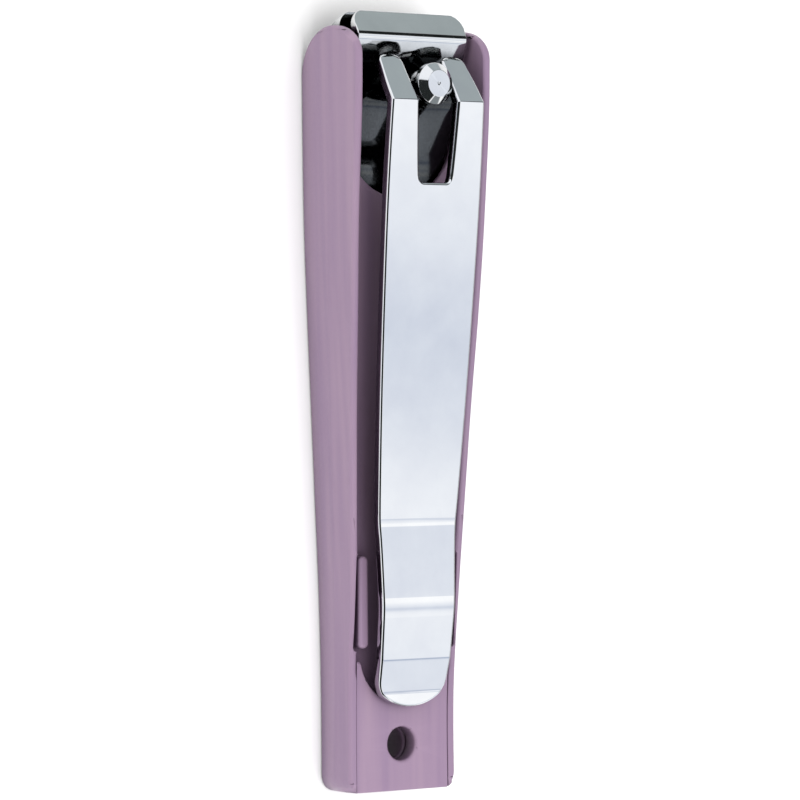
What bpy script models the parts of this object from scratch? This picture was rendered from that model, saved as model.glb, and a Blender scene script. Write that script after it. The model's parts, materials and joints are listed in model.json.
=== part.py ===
"""Compound-lever nail clipper in a plastic sheath that catches the clippings.

Metres, +Z up. The clipper lies on the flat back of its sheath: +Y runs along it towards the jaws,
+Z is the face that the folded lever shows, and the origin is the middle of the back at mid-length.
"""

import math

import bmesh
import bpy
from mathutils import Matrix

MM = 0.001

# Overall length along Y: the sheath's tail to the cutting edges.
TAIL_Y = -44.0 * MM
EDGE_Y = 44.0 * MM

# Sheath: (y, half width) of its plan and (y, height) of its rim, from tail to head.
SHEATH_PLAN = [
    (-44.0, 7.5), (-32.0, 7.5), (-22.0, 7.7), (-11.0, 8.15),
    (0.0, 8.6), (11.0, 9.05), (23.0, 9.4), (44.0, 9.5),
]
SHEATH_RIM = [
    (-44.0, 6.0), (-33.0, 6.05), (-22.0, 6.85), (-11.0, 7.6), (0.0, 8.4),
    (11.0, 9.4), (23.0, 10.3), (34.0, 11.1), (44.0, 11.2),
]
WALL = 1.1 * MM
FLOOR = 0.8 * MM
TAIL_CORNER = 1.9 * MM
NOSE_TIP = (42.3 * MM, 6.0 * MM)
NOSE_BACK = (5.4 * MM, 6.0 * MM)
NOSE_FRONT = (3.5 * MM, 5.2 * MM)
NOSE_BLEND = 2.0 * MM
PAST_NOSE_Y = 48.0 * MM

# Front plate between the walls: its lever bed slopes, and its tail tab lies just below the rim.
PLATE_GAP = 0.2 * MM
PLATE_INSET = 0.1 * MM
PLATE_THICKNESS = 0.7 * MM
PLATE_HEAD_Y = 30.6 * MM
BED_Y = -29.0 * MM
BED_HEIGHT = 4.45 * MM
BED_SLOPE = 0.034
BED_END_RADIUS = 5.9 * MM
BED_END_Y = -33.9 * MM
BED_FLARE_Y = -14.0 * MM
TAB_DROP = 0.25 * MM
TAB_UNDERSIDE = BED_HEIGHT - PLATE_THICKNESS
TAIL_BLOCK_HEIGHT = TAB_UNDERSIDE - 0.3 * MM
TAIL_BLOCK_Y = -34.2 * MM
TAB_SEAT_Y = -30.0 * MM
THROAT_RADIUS = 7.4 * MM
LUG_Y = -22.4 * MM
LUG_X = 5.7 * MM
LUG_LENGTH = 10.4 * MM
LUG_WIDTH = 1.4 * MM
LUG_CORNER = 0.65 * MM
LUG_ROOT = 0.5 * MM
LUG_HEIGHT = 6.7 * MM
NOTCH_DEPTH = 0.4 * MM
NOTCH_LENGTH = LUG_LENGTH + 0.6 * MM
NOTCH_BOTTOM = 5.35 * MM
LANYARD_Y = -38.6 * MM
LANYARD_RADIUS = 1.9 * MM

# Steel arms: half widths in plan, the outer face of each in side view, and one sheet thickness.
STEEL = 1.25 * MM
ARM_TAIL_Y = -33.0 * MM
ARM_TAIL_CHAMFER = 1.5 * MM
ARM_PLAN = [
    (-33.0, 5.5), (-20.0, 5.7), (0.0, 6.1), (20.0, 6.5),
    (28.0, 6.7), (34.0, 7.3), (38.0, 7.55), (46.0, 7.6),
]
LOWER_FACE = [(-33.0, 0.95, 0), (25.5, 0.95, 12), (33.0, 2.4, 12), (41.2, 2.4, 1.5), (44.0, 5.4, 0)]
UPPER_FACE = [
    (-33.0, 3.55, 0), (-28.0, 3.55, 40), (27.0, 5.42, 8), (33.5, 7.9, 5),
    (38.1, 7.95, 3), (41.2, 9.2, 1.5), (44.0, 7.6, 0),
]
JAW_CORNER = 1.6 * MM
LOWER_EDGE_Z = 5.4 * MM
UPPER_EDGE_Z = 7.6 * MM

# Tail rivet, flush with both arms.
RIVET_Y = -29.0 * MM
RIVET_RADIUS = 1.4 * MM
RIVET_HEAD_RADIUS = 2.1 * MM
RIVET_HEAD = 0.35 * MM
RIVET_LOW, RIVET_HIGH = 1.0 * MM, 3.48 * MM
RIVET_MIDDLE = (RIVET_LOW + RIVET_HIGH) / 2
RIVET_CLEARANCE = 0.15 * MM

# Pivot pin: foot under the lower arm, shaft through both, and a necked head that holds the lever.
PIN_Y = 35.65 * MM
PIN_RADIUS = 1.7 * MM
PIN_FOOT_RADIUS = 2.9 * MM
PIN_FOOT_LOW, PIN_FOOT_HIGH = 1.3 * MM, 2.2 * MM
PIN_NECK_RADIUS = 1.6 * MM
PIN_NECK_LOW, PIN_NECK_HIGH = 10.6 * MM, 12.4 * MM
PIN_HEAD_RADIUS = 2.35 * MM
PIN_HEAD_SHOULDER = 13.2 * MM
PIN_TOP = 13.9 * MM
PIN_TOP_RADIUS = 1.5 * MM
LOWER_HOLE_RADIUS = 2.0 * MM
UPPER_HOLE_RADIUS = 2.8 * MM

# Lever: half widths in plan, and the outer face in side view from the fork tips to the tail.
LEVER_PLAN = [
    (-31.0, 4.7), (-28.0, 4.85), (-22.0, 5.0), (-16.0, 5.2), (-11.0, 5.5),
    (0.0, 5.95), (11.0, 6.25), (23.0, 6.45), (34.0, 6.35), (38.9, 5.9),
]
LEVER_FACE = [
    (39.0, 10.4, 0), (33.75, 13.9, 0), (-13.5, 9.25, 8), (-23.0, 9.5, 15),
    (-29.0, 8.75, 4), (-32.6, 7.85, 2), (-34.3, 7.75, 0),
]
LEVER_TAIL_Y = -34.3 * MM
LEVER_TAIL_RADIUS = 6.6 * MM
LEVER_CORNER = 1.0 * MM
SLOT_PLAN = [(24.65, 2.1), (28.0, 2.35), (34.0, 2.65), (42.0, 2.75)]
SLOT_CORNER = 0.6 * MM
AXLE_Z = 11.5 * MM
NIB_RADIUS = 0.55 * MM
NIB_INNER, NIB_OUTER = 1.95 * MM, 3.2 * MM

REACH = 20.0 * MM  # half length of a cutter that goes right through
ARC_STEPS = 6
CURVE_STEPS = 3
HOLE_STEPS = 24
THROAT_STEPS = 48
END_ARC_STEPS = 10
SHARP_ANGLE = 35.0


def clear_scene():
    for obj in list(bpy.data.objects):
        bpy.data.objects.remove(obj)


def new_collection(name):
    made = bpy.data.collections.new(name)
    bpy.context.scene.collection.children.link(made)
    return made


def new_material(name, colour, roughness, metallic):
    made = bpy.data.materials.new(name)
    made.use_nodes = True
    shader = made.node_tree.nodes["Principled BSDF"]
    shader.inputs["Base Color"].default_value = (*colour, 1.0)
    shader.inputs["Roughness"].default_value = roughness
    shader.inputs["Metallic"].default_value = metallic
    made.diffuse_color = (*colour, 1.0)
    return made


def catmull_rom(p, q, r, s, t):
    """The value a share t of the way from q to r, on the smooth curve through p, q, r and s."""
    bend = 2 * p - 5 * q + 4 * r - s
    twist = 3 * q - p - 3 * r + s
    return (2 * q + t * (r - p) + t**2 * bend + t**3 * twist) / 2


def smooth_points(stations):
    """Metre points on a smooth curve through stations given in millimetres."""
    ends = [stations[0]] + stations + [stations[-1]]
    points = []
    for around in zip(ends, ends[1:], ends[2:], ends[3:]):
        for step in range(CURVE_STEPS):
            t = step / CURVE_STEPS
            points.append(tuple(MM * catmull_rom(*values, t) for values in zip(*around)))
    points.append(tuple(MM * value for value in stations[-1]))
    return points


def height_at(points, y):
    """The value at y on a run of (y, value) points that climbs in y."""
    for (y0, v0), (y1, v1) in zip(points, points[1:]):
        if y <= y1:
            return v0 + (v1 - v0) * (y - y0) / (y1 - y0)
    return points[-1][1]


def filleted(corners):
    """Metre points of a path through (y, z, fillet radius) corners in millimetres; radius 0 is sharp."""
    corners = [tuple(MM * value for value in corner) for corner in corners]
    points = [corners[0][:2]]
    for before, (y, z, radius), after in zip(corners, corners[1:], corners[2:]):
        if radius == 0:
            points.append((y, z))
            continue
        into = math.atan2(z - before[1], y - before[0])
        out = math.atan2(after[1] - z, after[0] - y)
        turn = math.remainder(out - into, math.tau)
        side = math.copysign(1.0, turn)
        back = radius * math.tan(abs(turn) / 2)
        start_y = y - back * math.cos(into)
        start_z = z - back * math.sin(into)
        centre = (start_y - side * radius * math.sin(into), start_z + side * radius * math.cos(into))
        first = math.degrees(into) - side * 90
        points += arc(centre, (radius, radius), first, first + math.degrees(turn))
    points.append(corners[-1][:2])
    return points


def offset(path, distance):
    """The path moved to its left by distance, with mitred corners."""
    normals = []
    for (y0, z0), (y1, z1) in zip(path, path[1:]):
        length = math.hypot(y1 - y0, z1 - z0)
        normals.append((-(z1 - z0) / length, (y1 - y0) / length))
    moved = []
    for (y, z), before, after in zip(path, normals[:1] + normals, normals + normals[-1:]):
        mitre = distance / (1 + before[0] * after[0] + before[1] * after[1])
        moved.append((y + mitre * (before[0] + after[0]), z + mitre * (before[1] + after[1])))
    return moved


def arc(centre, radii, start, end, steps=ARC_STEPS):
    """Points on an elliptic arc, from start to end degrees."""
    points = []
    for step in range(steps + 1):
        angle = math.radians(start + (end - start) * step / steps)
        points.append((centre[0] + radii[0] * math.cos(angle), centre[1] + radii[1] * math.sin(angle)))
    return points


def both_sides(right):
    """A closed plan outline from its right half, listed as (x, y) from tail to head."""
    return right + [(-x, y) for x, y in reversed(right)]


def prism(name, outline, low, high, across=False):
    """A solid of the flat outline, from low to high along Z, or along X when the outline is in (y, z)."""
    curve = bpy.data.curves.new(name, "CURVE")
    curve.dimensions = "2D"
    curve.fill_mode = "BOTH"
    curve.extrude = (high - low) / 2
    spline = curve.splines.new("POLY")
    spline.points.add(len(outline) - 1)
    for point, (u, v) in zip(spline.points, outline):
        point.co = (u, v, 0.0, 1.0)
    spline.use_cyclic_u = True
    flat = bpy.data.objects.new(name + "_outline", curve)
    bpy.context.scene.collection.objects.link(flat)
    bpy.context.view_layer.update()
    mesh = bpy.data.meshes.new_from_object(flat.evaluated_get(bpy.context.evaluated_depsgraph_get()))
    mesh.name = name
    bpy.data.objects.remove(flat)
    bpy.data.curves.remove(curve)
    mesh.transform(Matrix.Translation((0.0, 0.0, (low + high) / 2)))
    if across:
        mesh.transform(Matrix(((0, 0, 1, 0), (1, 0, 0, 0), (0, 1, 0, 0), (0, 0, 0, 1))))
    return closed(mesh)


def closed(mesh):
    """The mesh with its loose caps welded and its faces pointing out."""
    work = bmesh.new()
    work.from_mesh(mesh)
    bmesh.ops.remove_doubles(work, verts=work.verts, dist=0.001 * MM)
    bmesh.ops.recalc_face_normals(work, faces=work.faces)
    work.to_mesh(mesh)
    work.free()
    return mesh


def rod(name, radius, low, high, x=0.0, y=0.0, segments=32):
    """An upright cylinder."""
    work = bmesh.new()
    bmesh.ops.create_cone(
        work, cap_ends=True, segments=segments, radius1=radius, radius2=radius, depth=high - low,
        matrix=Matrix.Translation((x, y, (low + high) / 2)),
    )
    mesh = bpy.data.meshes.new(name)
    work.to_mesh(mesh)
    work.free()
    return mesh


def add_part(name, mesh, material, origin=(0.0, 0.0, 0.0)):
    """A named part whose object origin is on its joint's axis."""
    mesh.transform(Matrix.Translation([-value for value in origin]))
    part = bpy.data.objects.new(name, mesh)
    part.location = origin
    part.data.materials.append(material)
    parts.objects.link(part)
    return part


def add_cutter(name, mesh):
    cutter = bpy.data.objects.new(name, mesh)
    cutter.hide_render = True
    cutter.display_type = "WIRE"
    cutters.objects.link(cutter)
    return cutter


def boolean(part, name, mesh, operation="DIFFERENCE"):
    """Cuts, joins or trims the part with the mesh, whose object is returned."""
    modifier = part.modifiers.new(name, "BOOLEAN")
    modifier.operation = operation
    modifier.object = add_cutter(part.name + "_" + name, mesh)
    return modifier.object


def turned(name, profile, material, origin, steps=40):
    """A solid turned about the vertical through origin, from an outer (radius, z) profile, top to bottom."""
    mesh = bpy.data.meshes.new(name)
    points = [(radius, 0.0, z - origin[2]) for radius, z in profile]
    mesh.from_pydata(points, [(i, i + 1) for i in range(len(points) - 1)], [])
    part = add_part(name, mesh, material)
    part.location = origin
    screw = part.modifiers.new("turn", "SCREW")
    screw.steps = steps
    screw.render_steps = steps
    screw.use_merge_vertices = True
    screw.merge_threshold = 0.01 * MM
    return part


def smooth_shading(part):
    part.data.shade_smooth()
    part.data.set_sharp_from_angle(angle=math.radians(SHARP_ANGLE))


def sheath_outline(inset=0.0, tail_y=TAIL_Y, head_y=PAST_NOSE_Y, corner=TAIL_CORNER):
    """The sheath's plan, moved in from its sides by inset and cut off square at tail_y and head_y."""
    plan = smooth_points(SHEATH_PLAN)
    tail_half = height_at(plan, tail_y) - inset
    right = [(tail_half, tail_y)]
    if corner:
        right = arc((tail_half - corner, tail_y + corner), (corner, corner), -90, 0)
    right += [(half - inset, y) for y, half in plan if tail_y + corner < y < head_y]
    right.append((height_at(plan, head_y) - inset, head_y))
    return both_sides(right)


def sheath_side():
    """The sheath's side view: flat back, sloping rim and rounded nose."""
    y, z = NOSE_TIP
    back = arc((y - NOSE_BACK[0], z), NOSE_BACK, -90, 0, steps=END_ARC_STEPS)
    front = arc((y - NOSE_FRONT[0], z), NOSE_FRONT, 0, 90, steps=END_ARC_STEPS)
    rim = [(at, height) for at, height in smooth_points(SHEATH_RIM) if at < y - NOSE_FRONT[0] - NOSE_BLEND]
    return [(TAIL_Y - MM, 0.0)] + back + front[1:] + rim[::-1] + [(TAIL_Y - MM, rim[0][1])]


def bed_line(y):
    return BED_HEIGHT + BED_SLOPE * (y - BED_Y)


def make_rear_shell(material):
    shell = add_part("rear_shell", prism("rear_shell", sheath_outline(), 0.0, REACH), material)
    boolean(shell, "side", prism("side", sheath_side(), -REACH, REACH, across=True), "INTERSECT")
    chamber = sheath_outline(WALL, TAIL_BLOCK_Y, corner=0.0)
    boolean(shell, "chamber", prism("chamber", chamber, FLOOR, REACH))
    tab_seat = sheath_outline(WALL, TAIL_Y - MM, TAB_SEAT_Y, corner=0.0)
    boolean(shell, "tab_seat", prism("tab_seat", tab_seat, TAIL_BLOCK_HEIGHT, REACH))
    half = height_at(smooth_points(SHEATH_PLAN), LUG_Y) - WALL + NOTCH_DEPTH
    notch = rounded_box(0.0, LUG_Y, 2 * half, NOTCH_LENGTH, NOTCH_DEPTH)
    boolean(shell, "notches", prism("notches", notch, NOTCH_BOTTOM, REACH))
    boolean(shell, "lanyard", rod("lanyard", LANYARD_RADIUS, -MM, REACH, y=LANYARD_Y))
    return shell


def rounded_box(x, y, width, length, corner):
    """A rectangle in plan with round corners."""
    dx = width / 2 - corner
    dy = length / 2 - corner
    points = []
    for turn, (side_x, side_y) in enumerate(((1, -1), (1, 1), (-1, 1), (-1, -1))):
        start = -90 + 90 * turn
        points += arc((x + side_x * dx, y + side_y * dy), (corner, corner), start, start + 90)
    return points


def make_front_plate(material):
    """The plate with its raised tail tab, sloping lever bed, two snap lugs and rounded throat."""
    rim = smooth_points(SHEATH_RIM)
    top = [(y, height - TAB_DROP) for y, height in rim if TAIL_Y < y < PLATE_HEAD_Y]
    under = [
        (PLATE_HEAD_Y, bed_line(PLATE_HEAD_Y) - PLATE_THICKNESS),
        (BED_Y, TAB_UNDERSIDE),
        (TAIL_Y, TAB_UNDERSIDE),
    ]
    side = [(TAIL_Y, top[0][1])] + top + [(PLATE_HEAD_Y, top[-1][1])] + under
    plan = sheath_outline(WALL + PLATE_GAP, TAIL_Y + PLATE_INSET, corner=0.0)
    plate = add_part("front_plate", prism("front_plate", plan, 0.0, REACH), material)
    boolean(plate, "side", prism("plate_side", side, -REACH, REACH, across=True), "INTERSECT")

    end_radii = (BED_END_RADIUS, BED_END_RADIUS)
    end = arc((0.0, BED_END_Y + BED_END_RADIUS), end_radii, -90, -20, steps=END_ARC_STEPS)
    bed = both_sides(end + [(REACH, BED_FLARE_Y), (REACH, PAST_NOSE_Y)])
    above = [(y, bed_line(y)) for y in (TAIL_Y, PAST_NOSE_Y)] + [(PAST_NOSE_Y, REACH), (TAIL_Y, REACH)]
    bed_cutter = boolean(plate, "bed", prism("bed", bed, 0.0, REACH))
    boolean(bed_cutter, "slope", prism("slope", above, -REACH, REACH, across=True), "INTERSECT")

    for side_name, x in (("left", -LUG_X), ("right", LUG_X)):
        outline = rounded_box(x, LUG_Y, LUG_WIDTH, LUG_LENGTH, LUG_CORNER)
        lug = prism("lug", outline, bed_line(LUG_Y) - LUG_ROOT, LUG_HEIGHT)
        boolean(plate, side_name + "_lug", lug, "UNION")
    boolean(plate, "throat", rod("throat", THROAT_RADIUS, -MM, REACH, y=PLATE_HEAD_Y, segments=THROAT_STEPS))
    boolean(plate, "lanyard", rod("plate_lanyard", LANYARD_RADIUS, -MM, REACH, y=LANYARD_Y))
    return plate


def arm_outline():
    """The plan that both arms share: a tapered strip with the wide jaw at its head."""
    plan = [(half, y) for y, half in smooth_points(ARM_PLAN) if y < EDGE_Y - JAW_CORNER]
    jaw = arc((plan[-1][0] - JAW_CORNER, EDGE_Y - JAW_CORNER), (JAW_CORNER, JAW_CORNER), 0, 90)
    tail_half = plan[0][0]
    tail = [(tail_half - ARM_TAIL_CHAMFER, ARM_TAIL_Y), (tail_half, ARM_TAIL_Y + ARM_TAIL_CHAMFER)]
    return both_sides(tail + plan[1:] + jaw)


def arm_side(face, thickness, edge_z):
    """The side view of an arm: its outer face, its inner face, and a flat ground behind the cutting edge."""
    outer = filleted(face)
    inner = offset(outer, thickness)
    while (inner[-1][1] - edge_z) * thickness >= 0:
        y1, z1 = inner.pop()
    y0, z0 = inner[-1]
    ground_y = y0 + (y1 - y0) * (edge_z - z0) / (z1 - z0)
    return outer + [(ground_y, edge_z)] + inner[::-1]


def make_arm(name, face, thickness, edge_z, hole_radius, material):
    arm = add_part(name, prism(name, arm_outline(), -MM, REACH), material, (0.0, RIVET_Y, RIVET_MIDDLE))
    side = arm_side(face, thickness, edge_z)
    boolean(arm, "side", prism(name + "_side", side, -REACH, REACH, across=True), "INTERSECT")
    boolean(arm, "pin_hole", rod("pin_hole", hole_radius, -MM, REACH, y=PIN_Y))
    boolean(arm, "rivet_hole", rod("rivet_hole", RIVET_RADIUS + RIVET_CLEARANCE, -MM, REACH, y=RIVET_Y))
    return arm


def make_lower_arm(material):
    arm = make_arm("lower_arm", LOWER_FACE, STEEL, LOWER_EDGE_Z, LOWER_HOLE_RADIUS, material)
    high = RIVET_LOW + RIVET_HEAD + RIVET_CLEARANCE
    boolean(arm, "sink", rod("lower_sink", RIVET_HEAD_RADIUS + RIVET_CLEARANCE, -MM, high, y=RIVET_Y))
    return arm


def make_upper_arm(material):
    arm = make_arm("upper_arm", UPPER_FACE, -STEEL, UPPER_EDGE_Z, UPPER_HOLE_RADIUS, material)
    low = RIVET_HIGH - RIVET_HEAD - RIVET_CLEARANCE
    boolean(arm, "sink", rod("upper_sink", RIVET_HEAD_RADIUS + RIVET_CLEARANCE, low, REACH, y=RIVET_Y))
    return arm


def make_tail_rivet(material):
    profile = [
        (0.0, RIVET_HIGH),
        (RIVET_HEAD_RADIUS, RIVET_HIGH),
        (RIVET_HEAD_RADIUS, RIVET_HIGH - RIVET_HEAD),
        (RIVET_RADIUS, RIVET_HIGH - RIVET_HEAD),
        (RIVET_RADIUS, RIVET_LOW + RIVET_HEAD),
        (RIVET_HEAD_RADIUS, RIVET_LOW + RIVET_HEAD),
        (RIVET_HEAD_RADIUS, RIVET_LOW),
        (0.0, RIVET_LOW),
    ]
    return turned("tail_rivet", profile, material, (0.0, RIVET_Y, RIVET_MIDDLE), steps=HOLE_STEPS)


def make_pivot_pin(material):
    profile = [
        (0.0, PIN_TOP),
        (PIN_TOP_RADIUS, PIN_TOP),
        (PIN_HEAD_RADIUS, PIN_HEAD_SHOULDER),
        (PIN_HEAD_RADIUS, PIN_NECK_HIGH),
        (PIN_NECK_RADIUS, PIN_NECK_HIGH),
        (PIN_NECK_RADIUS, PIN_NECK_LOW),
        (PIN_RADIUS, PIN_NECK_LOW),
        (PIN_RADIUS, PIN_FOOT_HIGH),
        (PIN_FOOT_RADIUS, PIN_FOOT_HIGH),
        (PIN_FOOT_RADIUS, PIN_FOOT_LOW),
        (0.0, PIN_FOOT_LOW),
    ]
    return turned("pivot_pin", profile, material, (0.0, PIN_Y, AXLE_Z))


def lever_outline():
    plan = [(half, y) for y, half in smooth_points(LEVER_PLAN)]
    reach = math.degrees(math.asin(plan[0][0] / LEVER_TAIL_RADIUS))
    centre = (0.0, LEVER_TAIL_Y + LEVER_TAIL_RADIUS)
    tail = arc(centre, (LEVER_TAIL_RADIUS, LEVER_TAIL_RADIUS), -90, -90 + reach, steps=END_ARC_STEPS)
    tip_x, tip_y = plan[-1]
    fork = arc((tip_x - LEVER_CORNER, tip_y), (LEVER_CORNER, LEVER_CORNER), 0, 90)
    return both_sides(tail + [(x, y) for x, y in plan if y > tail[-1][1] + MM] + fork)


def make_lever(material):
    origin = (0.0, PIN_Y, AXLE_Z)
    lever = add_part("lever", prism("lever", lever_outline(), 0.0, REACH), material, origin)
    face = filleted(LEVER_FACE)
    side = face + offset(face, STEEL)[::-1]
    boolean(lever, "side", prism("lever_side", side, -REACH, REACH, across=True), "INTERSECT")
    slot = [(half, y) for y, half in smooth_points(SLOT_PLAN)]
    end = arc((slot[0][0] - SLOT_CORNER, slot[0][1] + SLOT_CORNER), (SLOT_CORNER, SLOT_CORNER), -90, 0)
    slot = both_sides(end + [(x, y) for x, y in slot if y > slot[0][1] + SLOT_CORNER])
    boolean(lever, "slot", prism("slot", slot, 0.0, REACH))
    nib = arc((PIN_Y, AXLE_Z), (NIB_RADIUS, NIB_RADIUS), 0, 330, steps=11)
    for side_name, low, high in (("right", NIB_INNER, NIB_OUTER), ("left", -NIB_OUTER, -NIB_INNER)):
        boolean(lever, side_name + "_nib", prism("nib", nib, low, high, across=True), "UNION")
    return lever


clear_scene()
parts = new_collection("nail_clipper")
cutters = new_collection("cutters")

PLASTIC = (0.42, 0.29, 0.43)
plastic_back = new_material("mauve_plastic_back", PLASTIC, 0.45, 0.0)
plastic_front = new_material("mauve_plastic_front", (0.45, 0.31, 0.46), 0.45, 0.0)
chrome_arms = new_material("chrome_arms", (0.72, 0.73, 0.74), 0.15, 1.0)
chrome_jaw = new_material("chrome_upper_arm", (0.78, 0.79, 0.80), 0.12, 1.0)
chrome_lever = new_material("chrome_lever", (0.86, 0.88, 0.92), 0.08, 1.0)
chrome_pin = new_material("chrome_pin", (0.80, 0.80, 0.80), 0.2, 1.0)
rivet_steel = new_material("rivet_steel", (0.55, 0.55, 0.55), 0.35, 1.0)

rear_shell = make_rear_shell(plastic_back)
front_plate = make_front_plate(plastic_front)
lower_arm = make_lower_arm(chrome_arms)
upper_arm = make_upper_arm(chrome_jaw)
tail_rivet = make_tail_rivet(rivet_steel)
pivot_pin = make_pivot_pin(chrome_pin)
lever = make_lever(chrome_lever)
for round_part in (tail_rivet, pivot_pin, lever):
    smooth_shading(round_part)
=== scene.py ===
"""The looks of the lever nail clipper: fine meshes with rounded edges, materials, light and camera."""

import json
import math

import bmesh
import bpy
from mathutils import Matrix, Vector


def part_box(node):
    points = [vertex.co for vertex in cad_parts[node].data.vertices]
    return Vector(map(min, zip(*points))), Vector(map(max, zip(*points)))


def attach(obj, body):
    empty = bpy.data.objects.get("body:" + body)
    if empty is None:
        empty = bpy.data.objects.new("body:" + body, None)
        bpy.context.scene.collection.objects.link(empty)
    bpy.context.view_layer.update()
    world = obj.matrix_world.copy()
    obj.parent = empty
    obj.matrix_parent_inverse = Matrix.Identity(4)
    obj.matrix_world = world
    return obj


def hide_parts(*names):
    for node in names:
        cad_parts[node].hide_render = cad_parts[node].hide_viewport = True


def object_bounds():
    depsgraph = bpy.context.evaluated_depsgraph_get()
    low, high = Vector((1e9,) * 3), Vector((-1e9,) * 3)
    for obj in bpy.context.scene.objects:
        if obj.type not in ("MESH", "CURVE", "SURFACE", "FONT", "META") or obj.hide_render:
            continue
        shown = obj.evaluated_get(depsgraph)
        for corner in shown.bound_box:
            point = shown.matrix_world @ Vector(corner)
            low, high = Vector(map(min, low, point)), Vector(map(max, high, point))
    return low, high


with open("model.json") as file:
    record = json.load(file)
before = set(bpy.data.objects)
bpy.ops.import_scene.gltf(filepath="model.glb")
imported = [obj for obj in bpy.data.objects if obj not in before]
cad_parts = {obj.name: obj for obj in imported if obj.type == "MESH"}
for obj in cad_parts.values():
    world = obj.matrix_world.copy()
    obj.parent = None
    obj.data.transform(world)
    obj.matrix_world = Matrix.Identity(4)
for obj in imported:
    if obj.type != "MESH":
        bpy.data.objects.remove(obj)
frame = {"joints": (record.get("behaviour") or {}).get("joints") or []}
cad_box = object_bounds()

MM = 0.001
REACH = 20.0 * MM  # half length of a cutter that goes right through
CURVE_STEPS = 6
ARC_STEP = math.radians(4.0)
EDGE_MARGIN = 0.1 * MM  # slack when an edge is told by where it lies
SAME_POINT = 0.0005 * MM
SHORT_EDGE, FLAT_EDGE = 0.01 * MM, 0.005 * MM  # leftovers of a Boolean that weld removes
CUT_MARGIN = 0.0002 * MM

SHELL_LOW, SHELL_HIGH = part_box("rear_shell")
PLATE_LOW, PLATE_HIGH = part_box("front_plate")
LOWER_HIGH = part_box("lower_arm")[1]
UPPER_LOW, UPPER_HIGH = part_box("upper_arm")
LEVER_LOW, LEVER_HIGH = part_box("lever")
PIN_LOW, PIN_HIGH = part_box("pivot_pin")
RIVET_LOW, RIVET_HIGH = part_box("tail_rivet")
PIN_Y = (PIN_LOW.y + PIN_HIGH.y) / 2
RIVET_Y = (RIVET_LOW.y + RIVET_HIGH.y) / 2
TAIL_Y = SHELL_LOW.y
NOSE_Y = SHELL_HIGH.y
EDGE_Y = UPPER_HIGH.y
PAST_NOSE_Y = NOSE_Y + 6.0 * MM

# Sheath, in millimetres from its tail: half width of the plan, and height of the rim.
SHEATH_PLAN = [(0, 7.5), (12, 7.5), (22, 7.7), (33, 8.15), (44, 8.6), (55, 9.05), (67, 9.4), (88, 9.5)]
SHEATH_RIM = [
    (0, 6.0), (11, 6.05), (22, 6.85), (33, 7.6), (44, 8.4), (55, 9.4), (67, 10.3), (78, 11.1), (88, 11.2),
]
WALL = 1.1 * MM
FLOOR = 0.8 * MM
TAIL_CORNER = 1.9 * MM
NOSE_TIP_Z = 6.0 * MM
NOSE_BACK = (5.4 * MM, 6.0 * MM)
NOSE_FRONT = (3.5 * MM, 5.2 * MM)
NOSE_EASE = 1.5 * MM  # gap between the rim's last point and the nose's arc
CREASE_SHARE = 0.54  # height of the moulding's parting crease, as a share of the rim's
CREASE_HALF = 0.1 * MM
LEAN_BACK, LEAN_RIM = 0.3 * MM, 0.12 * MM
RIM_ROUNDING = 0.38 * MM
SMALL_ROUNDING = 0.12 * MM
WALL_END = 1.2 * MM  # length of the walls' pointed ends at the tail
WALL_END_Z = 0.5 * MM  # height that those ends start above
HOLE_ROUNDING = 0.4 * MM

# Front plate.
PLATE_GAP = 0.04 * MM
PLATE_THICKNESS = 0.7 * MM
BED_Y = TAIL_Y + 15.0 * MM
BED_HEIGHT = 4.45 * MM
BED_SLOPE = 0.034
BED_END_RADIUS = 5.9 * MM
BED_END_Y = TAIL_Y + 10.1 * MM
BED_FLARE_Y = TAIL_Y + 21.0 * MM
TAB_DROP = 0.1 * MM
TAB_UNDERSIDE = BED_HEIGHT - PLATE_THICKNESS
TAIL_BLOCK_HEIGHT = TAB_UNDERSIDE - 0.3 * MM
TAIL_BLOCK_Y = TAIL_Y + 9.8 * MM
TAB_SEAT_Y = TAIL_Y + 14.0 * MM
THROAT_RADIUS = 7.4 * MM
LUG_Y = TAIL_Y + 21.6 * MM
LUG_X = 5.7 * MM
LUG_WIDTH, LUG_LENGTH, LUG_HEIGHT = 1.4 * MM, 10.4 * MM, 6.7 * MM
LUG_CORNER, LUG_ROUNDING = 0.65 * MM, 0.42 * MM
LUG_ROOT = 0.5 * MM  # depth that the lugs start below the bed
SEAM_ROUNDING, PLATE_ROUNDING = 0.08 * MM, 0.24 * MM
NOTCH_DEPTH = 0.4 * MM
NOTCH_LENGTH = LUG_LENGTH + 0.6 * MM
NOTCH_BOTTOM = 5.35 * MM
LANYARD_Y = TAIL_Y + 5.4 * MM
LANYARD_RADIUS = 1.9 * MM

# Steel arms: half widths against millimetres from their tail, then (from tail, height, fillet radius).
STEEL = 1.25 * MM
ARM_TAIL_Y = UPPER_LOW.y
ARM_PLAN = [(0, 5.5), (13, 5.7), (33, 6.1), (53, 6.5), (61, 6.7), (67, 7.3), (71, 7.55), (79, 7.6)]
LOWER_FACE = [(0, 0.95, 0), (58.5, 0.95, 12), (66, 2.4, 12), (74.2, 2.4, 1.5), (77, 5.4, 0)]
UPPER_FACE = [
    (0, 3.55, 0), (5, 3.55, 40), (60, 5.42, 8), (66.5, 7.9, 5),
    (71.1, 7.95, 3), (74.2, 9.2, 1.5), (77, 7.6, 0),
]
JAW_CORNER = 1.6 * MM
LOWER_EDGE_Z = LOWER_HIGH.z
UPPER_EDGE_Z = 7.6 * MM
ARM_EDGE = 0.14 * MM
JAW_EDGE = 0.03 * MM
ARM_TAIL_CORNER = 1.5 * MM
RIVET_HOLE_RADIUS = 1.55 * MM
SINK_RADIUS, SINK_DEPTH = 2.25 * MM, 0.5 * MM  # recesses for the rivet's heads
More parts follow.
